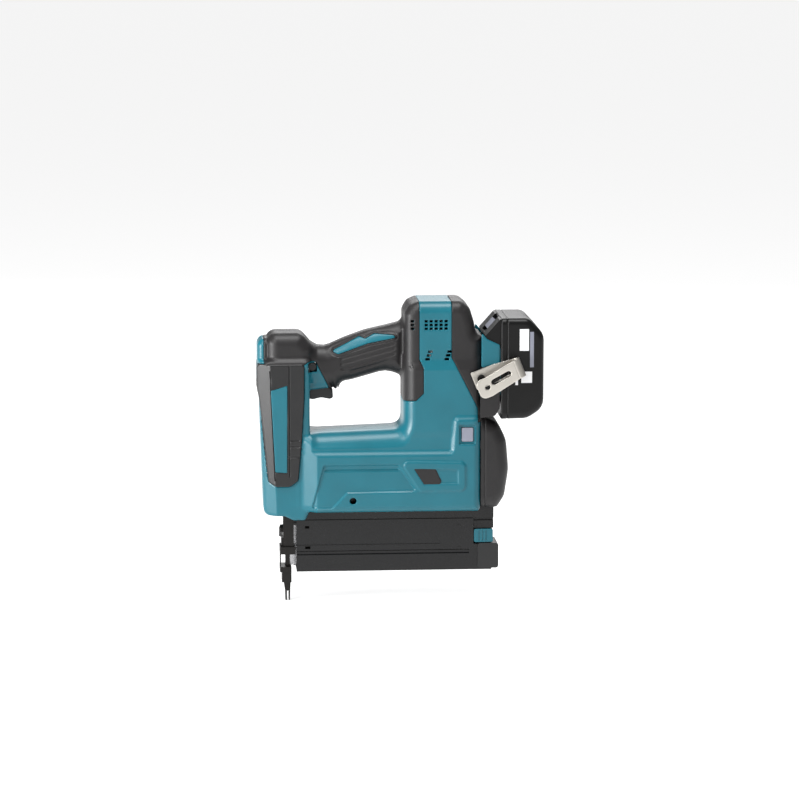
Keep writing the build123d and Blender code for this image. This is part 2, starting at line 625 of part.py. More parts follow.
# ---------------------------------------------------------------------- battery
def battery_parts():
    """The seat on the tool, and the pack that slides off it upwards."""
    seat = softened(box((181, -33.5, 190), (184, 33.5, 242)), Axis.X, 2)
    cheek = [(184, 190), (184, 244), (197, 236.5), (197, 194), (190, 190)]
    for side in (-1, 1):
        seat += prism(cheek, *sorted((side * 30, side * 33.5)))
        seat += box((190, min(side * 30, side * 27), 196), (192.5, max(side * 30, side * 27), 233))
    terminals = Part() + [
        box((184, y - 0.5, 200), (191, y + 0.5, 214)) for y in (-12, 0, 12)
    ]

    case = slab(BATTERY, BATTERY_HALF, 5) - core_slab(BATTERY, BATTERY_HALF, 5, 2.4)
    neck = [(187, 187), (199, 187), (199, 265), (196, 263), (183.5, 249.5), (183.5, 247), (187, 245)]
    inner = prism(neck, -29.6, 29.6)
    upper = prism([(183.5, 246.5), (199, 238), (199, 265), (196, 263.5), (183.0, 249)], -33.2, 33.2)
    inner = inner + upper
    for side in (-1, 1):
        inner -= box((189.6, min(side * 26.6, side * 40), 180), (192.9, max(side * 26.6, side * 40), 235.6))
    inner -= box((186, -20, 180), (193, 20, 218))
    inner -= box((184, -12, 249), (199, 12, 275))
    button = prism([(186.5, 252.9), (193.5, 260.7), (196.1, 258.4), (189.1, 250.6)], -11.5, 11.5)
    cells = Part()
    for row in range(2):
        for column in range(5):
            cells += rod_y(210.1 + 15.4 * row, 184.5 + 15.3 * column, -CELL_LONG / 2, CELL_LONG / 2, CELL_R)
    clips = Part() + [
        box((187.5, y + a, 204), (193, y + a + 0.6, 214)) for y in (-12, 0, 12) for a in (-1.5, 0.9)
    ]
    return {
        "battery_seat": seat,
        "seat_terminals": terminals,
        "battery_case": case,
        "battery_neck": inner,
        "battery_button": button,
        "battery_cells": cells,
        "battery_contacts": clips,
    }


# ------------------------------------------------------------------------- hook
def hook_parts():
    """A folded steel strip beside the battery, held by one screw."""
    long, wide = 44.0, 17.0
    back_y, front_y = -38.0, -51.0
    leaf = softened(box((-8, -wide / 2, 0), (long, wide / 2, HOOK_SHEET)), Axis.Z, 1)
    back = leaf - Cylinder(2.2, 20)
    front = softened(box((2, -wide / 2, 0), (long, wide / 2, HOOK_SHEET)), Axis.Z, 7.5)
    front += box((20, -wide / 2, 0), (long, wide / 2, HOOK_SHEET))
    slot = softened(box((16, -2.6, -5), (33, 2.6, 5)), Axis.Z, 2.5)
    front = front - slot - Pos(9, 0, 0) * Cylinder(2.2, 20)
    gap = back_y - front_y
    bend = Pos(long, 0, 0) * (
        Rot(90, 0, 0) * Cylinder(gap / 2 + HOOK_SHEET / 2, wide)
        - Rot(90, 0, 0) * Cylinder(gap / 2 - HOOK_SHEET / 2, wide + 2)
        - box((-40, -20, -20), (0, 20, 20))
    )
    strip = Pos(0, 0, -HOOK_SHEET / 2) * back + Pos(0, 0, gap - HOOK_SHEET / 2) * front
    strip += Pos(0, 0, gap / 2) * bend
    place = Pos(HOOK_X, back_y - HOOK_SHEET / 2, HOOK_Z) * Rot(0, -HOOK_TILT, 0) * Rot(90, 0, 0)
    return {"belt_hook": place * strip}


def screws():
    """The housing, hook and nose screws, and the pin that the trigger turns on."""
    made = []
    for x, z, half in SCREWS:
        shank = rod_y(x, z, -half + 9, half - 6, SCREW_R)
        head = rod_y(x, z, half - 6, half - 3, HEAD_R) - rod_y(x, z, half - 4.5, half, 1.6)
        made.append(shank + head)
    hook = rod_y(HOOK_X, HOOK_Z, -42.6, -39.8, 3.8) + rod_y(HOOK_X, HOOK_Z, -40, -28, 1.65)
    made.append(hook - rod_y(HOOK_X, HOOK_Z, -44, -41, 1.5))
    nose = rod_x(0, 68, -7.2, -4.2, 3.6) - rod_x(0, 68, -8, -6, 1.6)
    made.append(Pos(0, 0, -LIFT) * (nose + rod_x(0, 68, -4.3, -2.2, 2.0)))
    return group(*made, rod_y(TRIGGER_X, TRIGGER_Z, -11.6, 11.6, 1.5))


def main():
    os.makedirs("parts", exist_ok=True)
    nodes = {}
    for group_of_parts in (
        housing_parts, drive_parts, motor_parts, crank_parts, control_parts, battery_parts, hook_parts,
    ):
        nodes.update(group_of_parts())
    nodes["crank_cover"] = crank_cover()
    nodes["screws"] = screws()
    nodes = {name: Pos(0, 0, LIFT) * shape for name, shape in nodes.items()}
    for group_of_parts in (nose_parts, contact_parts, magazine_parts):
        nodes.update(group_of_parts())
    for name, shape in nodes.items():
        export_step(group(shape), f"parts/{name}.step")
    print(len(nodes), "nodes")


main()
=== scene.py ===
"""Cordless brad nailer: looks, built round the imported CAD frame.

Moulded parts (housing halves, overmoulds, side panels, crank cover, battery case),
the trigger and the belt hook are distance fields in the tool's own millimetre datum,
meshed by dual contouring. Everything else stays the CAD's own mesh with a procedural
material.

In a field, negative is inside. x runs from the nose to the battery, y to the tool's
right and z up.
"""
import functools
import math

import bpy
import numpy as np
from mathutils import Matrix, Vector


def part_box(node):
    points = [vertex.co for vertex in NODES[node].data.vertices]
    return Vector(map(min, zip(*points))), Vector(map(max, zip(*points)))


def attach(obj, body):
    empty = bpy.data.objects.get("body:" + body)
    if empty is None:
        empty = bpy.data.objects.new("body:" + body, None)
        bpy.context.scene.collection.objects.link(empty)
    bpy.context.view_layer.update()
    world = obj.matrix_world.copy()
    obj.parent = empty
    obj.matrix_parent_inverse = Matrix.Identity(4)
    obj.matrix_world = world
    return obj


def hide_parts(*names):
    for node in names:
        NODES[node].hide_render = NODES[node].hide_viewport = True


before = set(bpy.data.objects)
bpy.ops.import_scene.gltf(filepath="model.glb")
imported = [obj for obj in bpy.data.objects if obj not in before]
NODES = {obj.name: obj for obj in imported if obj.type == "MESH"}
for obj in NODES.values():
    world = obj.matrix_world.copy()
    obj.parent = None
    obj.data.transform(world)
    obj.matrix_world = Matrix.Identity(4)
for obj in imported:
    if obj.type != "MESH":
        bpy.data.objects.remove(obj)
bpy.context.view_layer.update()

STEP = 0.75          # spacing of the sample points, mm
SIDES = {1: "right", -1: "left"}

# The datum's zero is a little above the work surface: the drive cylinder's foot says by how much.
CYLINDER_FOOT = 118.0
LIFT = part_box("drive_cylinder")[0][2] * 1000 - CYLINDER_FOOT


# ------------------------------------------------------------------ 2D outlines
ARC_STEP = 0.22         # turn between two points of a rounded corner, radians


def rounded(corners):
    """Closed polyline from (x, z, radius) corners."""
    out = []
    n = len(corners)
    for i in range(n):
        a, b, c = (np.array(corners[j % n][:2], float) for j in (i - 1, i, i + 1))
        r = corners[i][2]
        if r <= 0:
            out.append(b)
            continue
        u, v = (a - b) / np.linalg.norm(a - b), (c - b) / np.linalg.norm(c - b)
        half = math.acos(max(-1.0, min(1.0, float(u @ v)))) / 2
        reach = min(r / math.tan(half), 0.49 * np.linalg.norm(a - b), 0.49 * np.linalg.norm(c - b))
        r = reach * math.tan(half)
        middle = b + (u + v) / np.linalg.norm(u + v) * r / math.sin(half)
        p, q = b + u * reach - middle, b + v * reach - middle
        sweep = math.atan2(p[0] * q[1] - p[1] * q[0], float(p @ q))
        steps = max(2, int(abs(sweep) / ARC_STEP))
        for k in range(steps + 1):
            t = sweep * k / steps
            out.append(middle + np.array((p[0] * math.cos(t) - p[1] * math.sin(t),
                                          p[0] * math.sin(t) + p[1] * math.cos(t))))
    return np.array(out)


def polygon(points, x, z):
    """Signed distance to a closed polyline, negative inside."""
    best = np.full(np.broadcast(x, z).shape, 1e9, np.float32)
    inside = np.zeros(best.shape, bool)
    for (ax, az), (bx, bz) in zip(points, np.roll(points, -1, axis=0)):
        ex, ez = bx - ax, bz - az
        wx, wz = x - ax, z - az
        t = np.clip((wx * ex + wz * ez) / max(ex * ex + ez * ez, 1e-9), 0, 1)
        dx, dz = wx - ex * t, wz - ez * t
        best = np.minimum(best, dx * dx + dz * dz)
        if ez != 0:
            crosses = ((az <= z) != (bz <= z)) & (x < ax + (z - az) * ex / ez)
            inside ^= crosses
    return np.where(inside, -1, 1).astype(np.float32) * np.sqrt(best)


# -------------------------------------------------------------- field operators
def rmax(a, b, r):
    """Intersection with an edge of radius r."""
    return np.minimum(np.maximum(a, b), -r) + np.hypot(np.maximum(a + r, 0), np.maximum(b + r, 0))


def rmin(a, b, r):
    """Union with a fillet of radius r."""
    return np.maximum(np.minimum(a, b), r) - np.hypot(np.maximum(r - a, 0), np.maximum(r - b, 0))


def ramp(v, low, high):
    """0 below low, 1 above high, smooth between."""
    t = np.clip((v - low) / (high - low), 0, 1)
    return t * t * (3 - 2 * t)


def inner(distance, blur):
    """1 inside an outline and 0 outside it, blurred on both sides of its line."""
    return 1 - ramp(distance, -blur, blur)


def between(v, low, high):
    """A slice from low to high."""
    return np.abs(v - (low + high) / 2) - (high - low) / 2


def without(field, hole, r=0.5):
    """A field with a hole cut out of it, the hole's edge rounded."""
    return rmax(field, -hole, r)


class Grid:
    """A block of sample points in the datum, in millimetres."""

    def __init__(self, low, high, step):
        self.low, self.step = np.array(low, float), step
        count = [int(math.ceil((b - a) / step)) + 1 for a, b in zip(low, high)]
        axes = [(a + step * np.arange(n)).astype(np.float32) for a, n in zip(low, count)]
        self.x, self.y, self.z = axes[0][:, None, None], axes[1][None, :, None], axes[2][None, None, :]
        self.shape = tuple(count)

    def poly(self, corners, back=0.0):
        """Distance to an outline; back moves the outline towards the nose."""
        return polygon(rounded(corners), self.x + back, self.z)

    def slab(self, corners, half, edge):
        """Outline extruded across the tool, its side edges rounded."""
        return rmax(self.poly(corners), np.abs(self.y) - half, edge)

    def box(self, low, high):
        walls = [between(v, a, b) for v, a, b in zip((self.x, self.y, self.z), low, high)]
        return np.maximum(np.maximum(walls[0], walls[1]), walls[2])

    def rod_y(self, x, z, low, high, r):
        return np.maximum(np.hypot(self.x - x, self.z - z) - r, between(self.y, low, high))

    def rod_z(self, x, y, low, high, r):
        return np.maximum(np.hypot(self.x - x, self.y - y) - r, between(self.z, low, high))


# Dual contouring: the field past the grid, the pull that holds a vertex to the middle of its crossings,
# and how far past its own cell it may reach.
OUTSIDE, PULL, REACH = 5.0, 0.12, 0.1
CORNERS = np.array([(i, j, k) for i in (0, 1) for j in (0, 1) for k in (0, 1)])
EDGES = [(a, b) for a in range(8) for b in range(a + 1, 8)
         if np.abs(CORNERS[a] - CORNERS[b]).sum() == 1]


def contour(field, grid):
    """Dual contouring: vertices in millimetres, and quads, of the zero surface."""
    field = np.ascontiguousarray(np.broadcast_to(field, grid.shape), np.float32)
    field = np.pad(field, 1, constant_values=OUTSIDE)
    sign = field < 0
    cells = np.zeros(tuple(n - 1 for n in field.shape), np.int8)
    for i, j, k in CORNERS:
        cells += sign[i:i + cells.shape[0], j:j + cells.shape[1], k:k + cells.shape[2]]
    where = np.argwhere((cells > 0) & (cells < 8))
    number = np.full(cells.shape, -1, np.int32)
    number[tuple(where.T)] = np.arange(len(where))
    last = np.array(field.shape) - 1

    def gradient(index):
        out = np.empty((len(index), 3), np.float32)
        for axis in range(3):
            up, down = index.copy(), index.copy()
            up[:, axis] = np.minimum(up[:, axis] + 1, last[axis])
            down[:, axis] = np.maximum(down[:, axis] - 1, 0)
            out[:, axis] = field[tuple(up.T)] - field[tuple(down.T)]
        return out

    values = np.stack([field[tuple((where + c).T)] for c in CORNERS], 1)
    slopes = np.stack([gradient(where + c) for c in CORNERS], 1)
    total = np.zeros((len(where), 3))
    count = np.zeros(len(where))
    ata = np.zeros((len(where), 3, 3))
    atb = np.zeros((len(where), 3))
    found = []
    for a, b in EDGES:
        va, vb = values[:, a], values[:, b]
        hit = (va < 0) != (vb < 0)
        t = np.where(hit, va / np.where(hit, va - vb, 1), 0)[:, None]
        point = CORNERS[a] + t * (CORNERS[b] - CORNERS[a])
        normal = slopes[:, a] * (1 - t) + slopes[:, b] * t
        normal = normal / np.maximum(np.linalg.norm(normal, axis=1, keepdims=True), 1e-9)
        keep = hit[:, None]
        total += np.where(keep, point, 0)
        count += hit
        found.append((keep, point, normal))
    middle = total / count[:, None]
    for keep, point, normal in found:
        normal = np.where(keep, normal, 0)
        distance = np.einsum("ni,ni->n", normal, point - middle)
        ata += normal[:, :, None] * normal[:, None, :]
        atb += normal * distance[:, None]
    shift = np.linalg.solve(ata + PULL * np.eye(3), atb[..., None])[..., 0]
    local = np.clip(middle + shift, -REACH, 1 + REACH)
    vertices = grid.low - grid.step + grid.step * (where + local)

    quads = []
    for axis in range(3):
        near = [slice(None)] * 3
        far = [slice(None)] * 3
        near[axis], far[axis] = slice(None, -1), slice(1, None)
        s0, s1 = sign[tuple(near)], sign[tuple(far)]
        at = np.argwhere(s0 != s1)
        u, v = [a for a in range(3) if a != axis]
        ok = (at[:, u] > 0) & (at[:, v] > 0)
        ok &= (at[:, u] < cells.shape[u]) & (at[:, v] < cells.shape[v])
        at = at[ok]
        ring = []
        for du, dv in ((-1, -1), (0, -1), (0, 0), (-1, 0)):
            cell = at.copy()
            cell[:, u] += du
            cell[:, v] += dv
            ring.append(number[tuple(cell.T)])
        ring = np.stack(ring, 1)
        flip = s0[tuple(at.T)] != (axis == 1)
        ring[~flip] = ring[~flip][:, ::-1]
        quads.append(ring)
    return vertices, np.concatenate(quads)


SHARP = math.radians(40)


def mesh_piece(name, vertices, quads, mirror=False):
    """A Blender object from the datum's millimetres, or its mirror image across the tool."""
    vertices = vertices.copy()
    if mirror:
        vertices[:, 1] *= -1
        quads = quads[:, ::-1]
    vertices[:, 2] += LIFT
    mesh = bpy.data.meshes.new(name)
    mesh.vertices.add(len(vertices))
    mesh.vertices.foreach_set("co", (vertices / 1000).astype(np.float32).ravel())
    mesh.loops.add(4 * len(quads))
    mesh.loops.foreach_set("vertex_index", quads.astype(np.int32).ravel())
    mesh.polygons.add(len(quads))
    mesh.polygons.foreach_set("loop_start", np.arange(0, 4 * len(quads), 4, dtype=np.int32))
    mesh.update(calc_edges=True)
    mesh.validate()
    mesh.polygons.foreach_set("use_smooth", np.ones(len(mesh.polygons), bool))
    mesh.set_sharp_from_angle(angle=SHARP)
    piece = bpy.data.objects.new(name, mesh)
    bpy.context.scene.collection.objects.link(piece)
    return piece


# ------------------------------------------------------------- the tool's forms
# Outlines seen from the left, as (x, z, corner radius). The column carries the head, with a strip down its
# front and a flare at its foot. The cheek is beside the trigger; the seat and heel hold the battery.
COLUMN = [(-26.2, 226, 0), (-26.2, 195, 20), (-22.5, 80, 6), (-3, 80, 0), (5, 76, 2), (16, 76, 3),
          (20.5, 86, 0), (20.5, 226, 0)]
STRIP = [(-27.6, 205, 0), (-27.6, 246, 8), (-12, 246, 0), (-12, 205, 0)]
HEAD = [(-19.5, 205, 0), (-19.5, 251, 10), (13, 251, 10), (24, 238.5, 8), (24, 205, 0)]
FLARE = [(-21, 219, 0), (-21, 225.5, 2), (19, 225.5, 2), (19, 219, 0)]
HANDLE = [(8, 236, 0), (24, 239, 10), (35, 236.4, 20), (54, 244.8, 50), (73, 251.6, 60), (93, 256, 40),
          (105, 259, 12), (113, 266, 0), (113, 200, 0), (105, 209.5, 10), (92, 214, 20), (78, 210, 30),
          (60, 205, 16), (51, 203.6, 7), (47, 195.2, 1.5), (43, 196, 1.2), (41, 199, 0), (8, 199, 0)]
MOTOR = [(108.5, 150, 0), (108.5, 269, 8), (113, 277, 8), (121, 280.5, 8), (161, 280.5, 8), (169, 274, 8),
         (173, 261, 12), (175, 250.5, 6), (181, 247.5, 0), (181, 150, 0)]
BODY = [(4, 84, 0), (178.6, 84, 3), (178.6, 228, 0), (108.5, 228, 0), (108.5, 161, 19), (88, 160, 60),
        (19, 157.5, 0), (4, 157.5, 0)]
COVER = [(150, 86, 0), (195, 86, 4), (202, 97, 14), (205.8, 122, 40), (203.5, 150, 26), (196, 165.5, 10),
         (178.7, 173.5, 3), (150, 173.5, 0)]
CASE = [(180, 170.3, 0), (222, 171, 14), (237.4, 181, 15), (237.4, 250, 14), (223, 265, 9), (180, 265, 0)]
CHEEK = [(14, 196, 0), (14, 228, 3), (30, 228, 3), (42, 199, 0), (40, 199, 0)]
SEAT = [(179, 218.5, 2), (179, 252.5, 1), (184.5, 246, 6), (196.3, 240.5, 2), (196.3, 217, 3),
        (187, 221.5, 6)]
HEEL = [(178, 172, 1), (178, 219, 1), (187, 222, 6), (196.3, 217.5, 3), (196.3, 181, 3), (192, 174, 3)]
LEVER = [(17.5, 214, 1), (17.5, 204, 0), (19.6, 197, 0), (19.6, 188, 1.2), (24, 187, 3), (32, 188.8, 8),
         (40, 187.2, 2), (43, 188.6, 1.5), (42.6, 196.5, 1.5), (38, 201.5, 2), (25, 208.4, 3),
         (20.5, 213.4, 2)]
PIVOT = (20.5, 212)

# Outlines of what is on the sides, drawn as they look from the left.
RAISED = [(-8, 60, 0), (-8, 139.5, 0), (155, 139.5, 4), (157.5, 172, 4), (195, 172, 0), (195, 60, 0)]
RECESS = [(35.5, 129, 2), (104.5, 129, 2), (112, 118, 2), (121.5, 104, 2), (57, 103.2, 2), (43, 88.5, 2),
          (24.5, 88.5, 2)]
FRAME = [(106.5, 132.5, 4), (167, 131, 5), (167, 104, 5), (124.5, 104, 5)]
PAD = [(115.3, 126.5, 1.5), (138.7, 126.5, 1.5), (144.7, 113.5, 1.5), (142.3, 108.6, 1.5),
       (124.8, 108.6, 1.5)]
GRIP = [(-19.6, 300, 0), (-19.6, 222, 2), (17, 222, 2), (20.8, 224.8, 2), (28, 224.8, 2), (40.5, 200, 0),
        (42, 189, 0), (104, 189, 0), (108, 187.4, 0), (120.5, 188.6, 2), (127.7, 195.5, 2), (127.7, 219, 3),
        (123.8, 227, 3), (123.8, 300, 0)]
INLAY = [(42, 233.2, 1.5), (48.7, 230.4, 1.5), (76.4, 240.4, 8), (102, 245.5, 1.5), (100, 248.2, 2),
         (82.3, 249.3, 4), (73.8, 244.7, 2), (68.4, 246.7, 2), (63.3, 244, 6)]
RIBS = [(49, 229.5, 2), (101, 243, 2), (101, 226, 2), (62, 212.5, 2), (49, 216, 2)]
REAR = [(154, 300, 0), (154, 228.5, 2), (156.5, 224, 3), (178.4, 181, 0), (178.4, 168, 0), (192, 168, 0),
        (192, 300, 0)]
PANEL = [(-27.4, 223.3, 4), (-27.4, 198, 6), (-25.6, 190, 20), (-17.5, 112.5, 5), (-10, 108.3, 5),
         (2.5, 108.3, 5), (10.5, 114, 4), (13.8, 150, 10), (16.2, 190, 20), (16.6, 223.3, 3)]
WRAP = [(-27.4, 240, 0), (-27.4, 198, 6), (-25.6, 190, 20), (-17.5, 112.5, 0), (-14.6, 90, 0), (60, 90, 0),
        (60, 240, 0)]
BADGE = [(-13.7, 198.8, 1), (1.8, 203.6, 1), (1.2, 121.4, 1), (-9.8, 122.4, 1)]
# How far each of those lies nearer the nose than it is drawn: more for a face further out.
SIDE_BACK, MOTOR_BACK, GRIP_BACK, INLAY_BACK, PANEL_BACK, BADGE_BACK = 2.5, 2.2, 2.0, 1.2, 1.0, 2.0

BEVEL = 0.74            # how fast the column's front corners fall away, across per length
COLUMN_HALF, PANEL_HALF = 27.0, 29.3
BODY_HALF, RAISE, STEP_IN = 32.6, 3.2, 3.2      # lower body, its raised part, the step to the motor
HEAD_HALF, FLARE_HALF, STRIP_HALF, HANDLE_HALF, CHEEK_HALF, MOTOR_HALF = 24.5, 28.6, 18, 17, 15.5, 31
COVER_HALF, CASE_HALF, LEVER_HALF = 33, 36, 8.0
# A column panel's front edge: how far from the middle, how much further below the turn, and where that is.
PANEL_EDGE, PANEL_NARROW, PANEL_TURN = 9.2, 9, 188
SKIN, THICK, PANEL_THICK, CAP_THICK, CASE_THICK = 1.8, 3.3, 3.0, 2.6, 1.7
RIB_PITCH, RIB_HIGH, RIB_SLOPE, RIBS_AT = 4.9, 1.0, 0.27, (50, 226.5)

# The belt hook's strip, laid along x from its screw: the leaf on the housing, and the free leaf outside it.
NEAR_LEAF = [(-7.5, -8.5, 1), (14, -8.8, 8), (33, -12, 0), (33, 6, 0), (14, 8.2, 8), (-7.5, 8.5, 1)]
FREE_LEAF = [(33, -12, 0), (33, 6, 0), (3.5, 1.2, 9), (-7, 1.0, 9.1), (-7, -17, 9.1), (3.5, -17.2, 9)]
FOLD_X, NEAR_Y, FREE_Y, STRIP_THICK = 33, -39.0, -50.1, 1.8
HOOK_SCREW, HOOK_LEAN = (178.5, 210.0), math.radians(22)


def corner_line(z):
    """x of the column's front corner, which leans back a little towards its foot."""
    return -15.2 + 0.04 * (200 - z)


def column_half(g, half):
    """Half width of something on the column, its front corners bevelled."""
    return half - BEVEL * np.maximum(0, corner_line(g.z) - g.x)


def body_half(g):
    """Half width of the lower body: a raised lower part, a bevelled front corner, a step to the motor."""
    step_foot, step_high = 217.5, 8.5
    corner_half, corner_at, corner_slope = 26.6, 12, 0.62
    raised = 1 - ramp(g.poly(RAISED, SIDE_BACK), -2.6, 3.2)
    half = BODY_HALF + RAISE * raised
    half = half - STEP_IN * np.clip((g.z - step_foot) / step_high, 0, 1)
    return np.minimum(half, corner_half + corner_slope * np.maximum(0, g.x - corner_at))


def relief(g):
    """What is let in (+) or stands out (-) on the sides: a recess and a border below, ribs on the grip."""
    recess_deep, border_high, field_deep, line_deep = 1.7, 1.3, 1.0, 0.8
    border_wide, line_at = 7, 124.6
    recess, border = g.poly(RECESS, SIDE_BACK), g.poly(FRAME, SIDE_BACK)
    lower = recess_deep * inner(recess, 0.9) - border_high * inner(border, 1.3)
    lower = lower + field_deep * inner(border + border_wide, 0.8)
    line = 1 - ramp(np.abs(g.z - line_at), 0.3, 1.1)
    lower = lower + line_deep * line * (1 - ramp(recess, -2.5, -1.5))
    across = (g.z - RIBS_AT[1]) - RIB_SLOPE * (g.x - RIBS_AT[0])
    ribs = RIB_HIGH * (0.5 + 0.5 * np.cos(across * 2 * math.pi / RIB_PITCH))
    ribs = ribs * (1 - ramp(g.poly(RIBS), -1.5, 0.5))
    rim = 0.8 * np.exp(-(g.poly(INLAY, INLAY_BACK) - 2.2) ** 2 / 0.5)
    body, flank = ramp(np.abs(g.y), 20, 26), ramp(np.abs(g.y), 8, 11)
    return lower * body + (ribs + rim) * flank


def envelope(g):
    """Everything the moulded body fills, as one surface."""
    edge, softer, ridges = 7, 11, ((146.8, 1.6), (141.0, 1.2))
    shoulder = edge + softer * ramp(g.z, 138, 148) * (1 - ramp(g.x, 106, 124)) * ramp(g.x, 14, 30)
    lower = rmax(g.poly(BODY), np.abs(g.y) - body_half(g), shoulder)
    front = rmax(g.poly(COLUMN), np.abs(g.y) - column_half(g, COLUMN_HALF), 3)
    head = rmin(g.slab(HEAD, HEAD_HALF, 12), g.slab(FLARE, FLARE_HALF, 3), 5)
    head = np.minimum(head, g.slab(STRIP, STRIP_HALF, 7))
    field = rmin(rmin(lower, front, 1.5), head, 2)
    field = rmin(field, g.slab(HANDLE, HANDLE_HALF, 15), 5)
    field = rmin(field, g.slab(CHEEK, CHEEK_HALF, 3), 2)
    field = rmin(field, g.slab(MOTOR, MOTOR_HALF, 11), 4)
    for z, high in ridges:
        ridge = g.box((0, -27.8, z - high), (27, 27.8, z + high))
        field = rmin(field, ridge, 1.5)
    return field + relief(g)


def vents(g):
    """Air slots through the motor's walls."""
    rows, pitch, half_high = range(3), 3.5, 1.1
    upper, lower = 255.6, 227.2
    holes = [(128.2 + 4.6 * i, upper + pitch * j, 1.45) for i in range(5) for j in rows]
    holes += [(115.6, upper + pitch * j, 1.6) for j in rows]
    holes += [(x + 1.3 * j, lower + pitch * j, 2.1) for x in (129.5, 147.3) for j in rows]
    boxes = [g.box((x - w, 24, z - half_high), (x + w, 40, z + half_high)) for x, z, w in holes]
    return functools.reduce(np.minimum, boxes)


def datum_box(node):
    """A CAD node's (x, z) corners, seen from the side, in the datum."""
    return [(corner[0] * 1000, corner[2] * 1000 - LIFT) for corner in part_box(node)]


LOCK = np.mean(datum_box("lock_button"), axis=0)
STATUS = datum_box("status_button")
SCREWS = [(60, 95.5), (163, 94.5), (105.2, 152.5), (118, 273.5), (162, 273.5), (172.5, 190), (75, 233)]
LEFT_SCREWS = SCREWS[:1]
SCREW_WELL = 3.1        # radius


def openings(g, side):
    """Ways through or into one half of the shell, its side being 1 for the right and -1 for the left."""
    cuts = [
        g.box((18.2, -8.8, 186), (47.4, 8.8, 216)),                     # the trigger's slot
        g.box((-7, -12.8, 66), (30, 12.8, 90)),                         # the driver guide
        g.box((5, -15, 66), (175.5, 15, 86)),                           # the magazine rail
        g.box((168, -27, 100), (184, 27, 166)),                         # the crank, below its cover
        g.rod_z(-1, 17, 70, 92, 3.0),                                   # the contact rod
        g.box((LOCK[0] - 4.2, 9.5, LOCK[1] - 4.6), (LOCK[0] + 4.2, 30, LOCK[1] + 4.6)),
    ]
    cuts += [g.rod_y(x, z, 14, 50, SCREW_WELL) for x, z in (LEFT_SCREWS if side < 0 else SCREWS)]
    if side < 0:
        (x0, z0), (x1, z1) = STATUS
        cuts.append(g.box((x0 - 2.4, 34.0, z0 - 2.6), (x1 + 2.2, 50, z1 + 2.6)))
        cuts.append(g.box((x0 - 0.3, 26, z0 - 0.3), (x1 + 0.3, 50, z1 + 0.3)))
    return functools.reduce(np.minimum, cuts)


# ------------------------------------------------------------- putting pieces in
def add_piece(name, mesh_data, slot, body, nodes=(), finish=None, mirror=False):
    """One piece on a body, finished as the slot named unless a finish is given, in place of the CAD nodes
    named.
    """
    piece = mesh_piece(name, *mesh_data, mirror=mirror)
    piece.data.materials.append(finish or MATERIALS[slot])
    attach(piece, body)
    if nodes:
        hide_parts(*nodes)
    print(name, len(mesh_data[1]), "faces")


def place(name, field, g, slot, body, nodes=(), sides=()):
    """Meshes a field once, and puts it in whole or on the sides asked for."""
    mesh_data = contour(field, g)
    if not sides:
        add_piece(name, mesh_data, slot, body, nodes)
    for side in sides:
        add_piece(f"{name}_{SIDES[side]}", mesh_data, slot, body, nodes, mirror=side < 0)


# -------------------------------------------------------------------- materials
def node_of(tree, kind, **values):
    """A shader node with some of its inputs set."""
    node = tree.nodes.new(kind)
    for socket, value in values.items():
        node.inputs[socket.replace("_", " ")].default_value = value
    return node


def material(name, colour, rough, metal=0.0, grain=0.0, size=900.0, cloud=0.06, coat=0.0, spec=0.5,
             brushed=False):
    """A procedural finish: slow colour and gloss drift, and a fine grain in the surface."""
    made = bpy.data.materials.new(name)
    made.use_nodes = True
    tree = made.node_tree
    tree.nodes.clear()
    dark = tuple(c * (1 - cloud) for c in colour) + (1,)
    light = tuple(min(1, c * (1 + cloud) + 0.004 * cloud) for c in colour) + (1,)

    out = tree.nodes.new("ShaderNodeOutputMaterial")
    shader = node_of(tree, "ShaderNodeBsdfPrincipled", Metallic=metal, Coat_Weight=coat,
                     Coat_Roughness=0.25, Specular_IOR_Level=spec)
    place_in = tree.nodes.new("ShaderNodeTexCoord")
    mapping = node_of(tree, "ShaderNodeMapping", Scale=(1, 1, 14) if brushed else (1, 1, 1))
    drift = node_of(tree, "ShaderNodeTexNoise", Scale=35, Detail=3)
    fine = node_of(tree, "ShaderNodeTexNoise", Scale=size, Detail=2)
    tint = node_of(tree, "ShaderNodeMapRange", From_Min=0.3, From_Max=0.7)
    mix = tree.nodes.new("ShaderNodeMix")
    mix.data_type = "RGBA"
    mix.inputs["A"].default_value = dark
    mix.inputs["B"].default_value = light
    gloss = node_of(tree, "ShaderNodeMapRange", From_Min=0.3, From_Max=0.7, To_Min=rough - 0.04,
                    To_Max=rough + 0.05)
    bump = node_of(tree, "ShaderNodeBump", Strength=grain, Distance=0.0002)
    for start, end in (
        (place_in.outputs["Object"], mapping.inputs["Vector"]),
        (mapping.outputs["Vector"], fine.inputs["Vector"]),
        (place_in.outputs["Object"], drift.inputs["Vector"]),
        (drift.outputs["Fac"], tint.inputs["Value"]),
        (tint.outputs["Result"], mix.inputs["Factor"]),
        (fine.outputs["Fac"], gloss.inputs["Value"]),
        (fine.outputs["Fac"], bump.inputs["Height"]),
        (mix.outputs["Result"], shader.inputs["Base Color"]),
        (gloss.outputs["Result"], shader.inputs["Roughness"]),
        (bump.outputs["Normal"], shader.inputs["Normal"]),
        (shader.outputs["BSDF"], out.inputs["Surface"]),
    ):
        tree.links.new(start, end)
    return made


